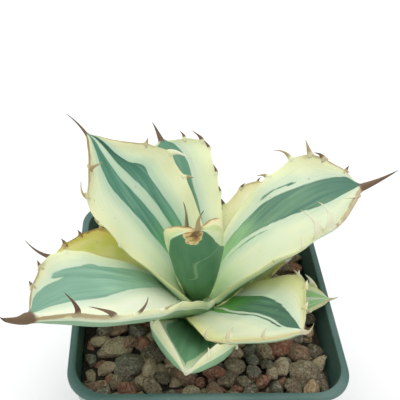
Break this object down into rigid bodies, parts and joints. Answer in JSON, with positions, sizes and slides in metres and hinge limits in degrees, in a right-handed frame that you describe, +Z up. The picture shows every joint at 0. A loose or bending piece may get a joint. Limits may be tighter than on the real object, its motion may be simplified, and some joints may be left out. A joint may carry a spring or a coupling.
{
  "type": "potted agave",
  "caption": "Young variegated agave rosette with toothed, spine-tipped leaves and a closed bud, in lava grit in a square plastic pot.",
  "frame": {"origin": "middle of the pot's flat underside, on the surface that it stands on", "axes": "+Z up along the pot, X and Y square to the pot's sides, -Y the side that faces the viewer"},
  "size_m": [0.1251, 0.0991, 0.1299],
  "materials": {
    "pot": "satin moulded plastic, dark slate green",
    "grit": "rough porous lava grit, brown, red-brown and grey",
    "stem": "pale fleshy plant tissue",
    "leaf": "waxy leaf skin, cream margins round a blue-green stripe",
    "low_leaf": "waxy leaf skin, yellower with age",
    "bud": "waxy dark green leaf skin with dry tan tips"
  },
  "bodies": {
    "root": {"pot": "pot", "substrate": "grit", "stem": "stem", "bud_spear": "bud", "bud_back_leaf": "bud", "bud_front_leaf": "bud", "leaf_back_left": "leaf", "leaf_right": "leaf", "leaf_front_left": "leaf", "leaf_back": "leaf", "leaf_front_right": "leaf", "leaf_left": "low_leaf", "leaf_back_right": "low_leaf", "leaf_front": "leaf", "leaf_low_back_left": "low_leaf", "leaf_low_right": "low_leaf", "leaf_low_back": "low_leaf", "leaf_low_small": "low_leaf"}
  },
  "joints": []
}
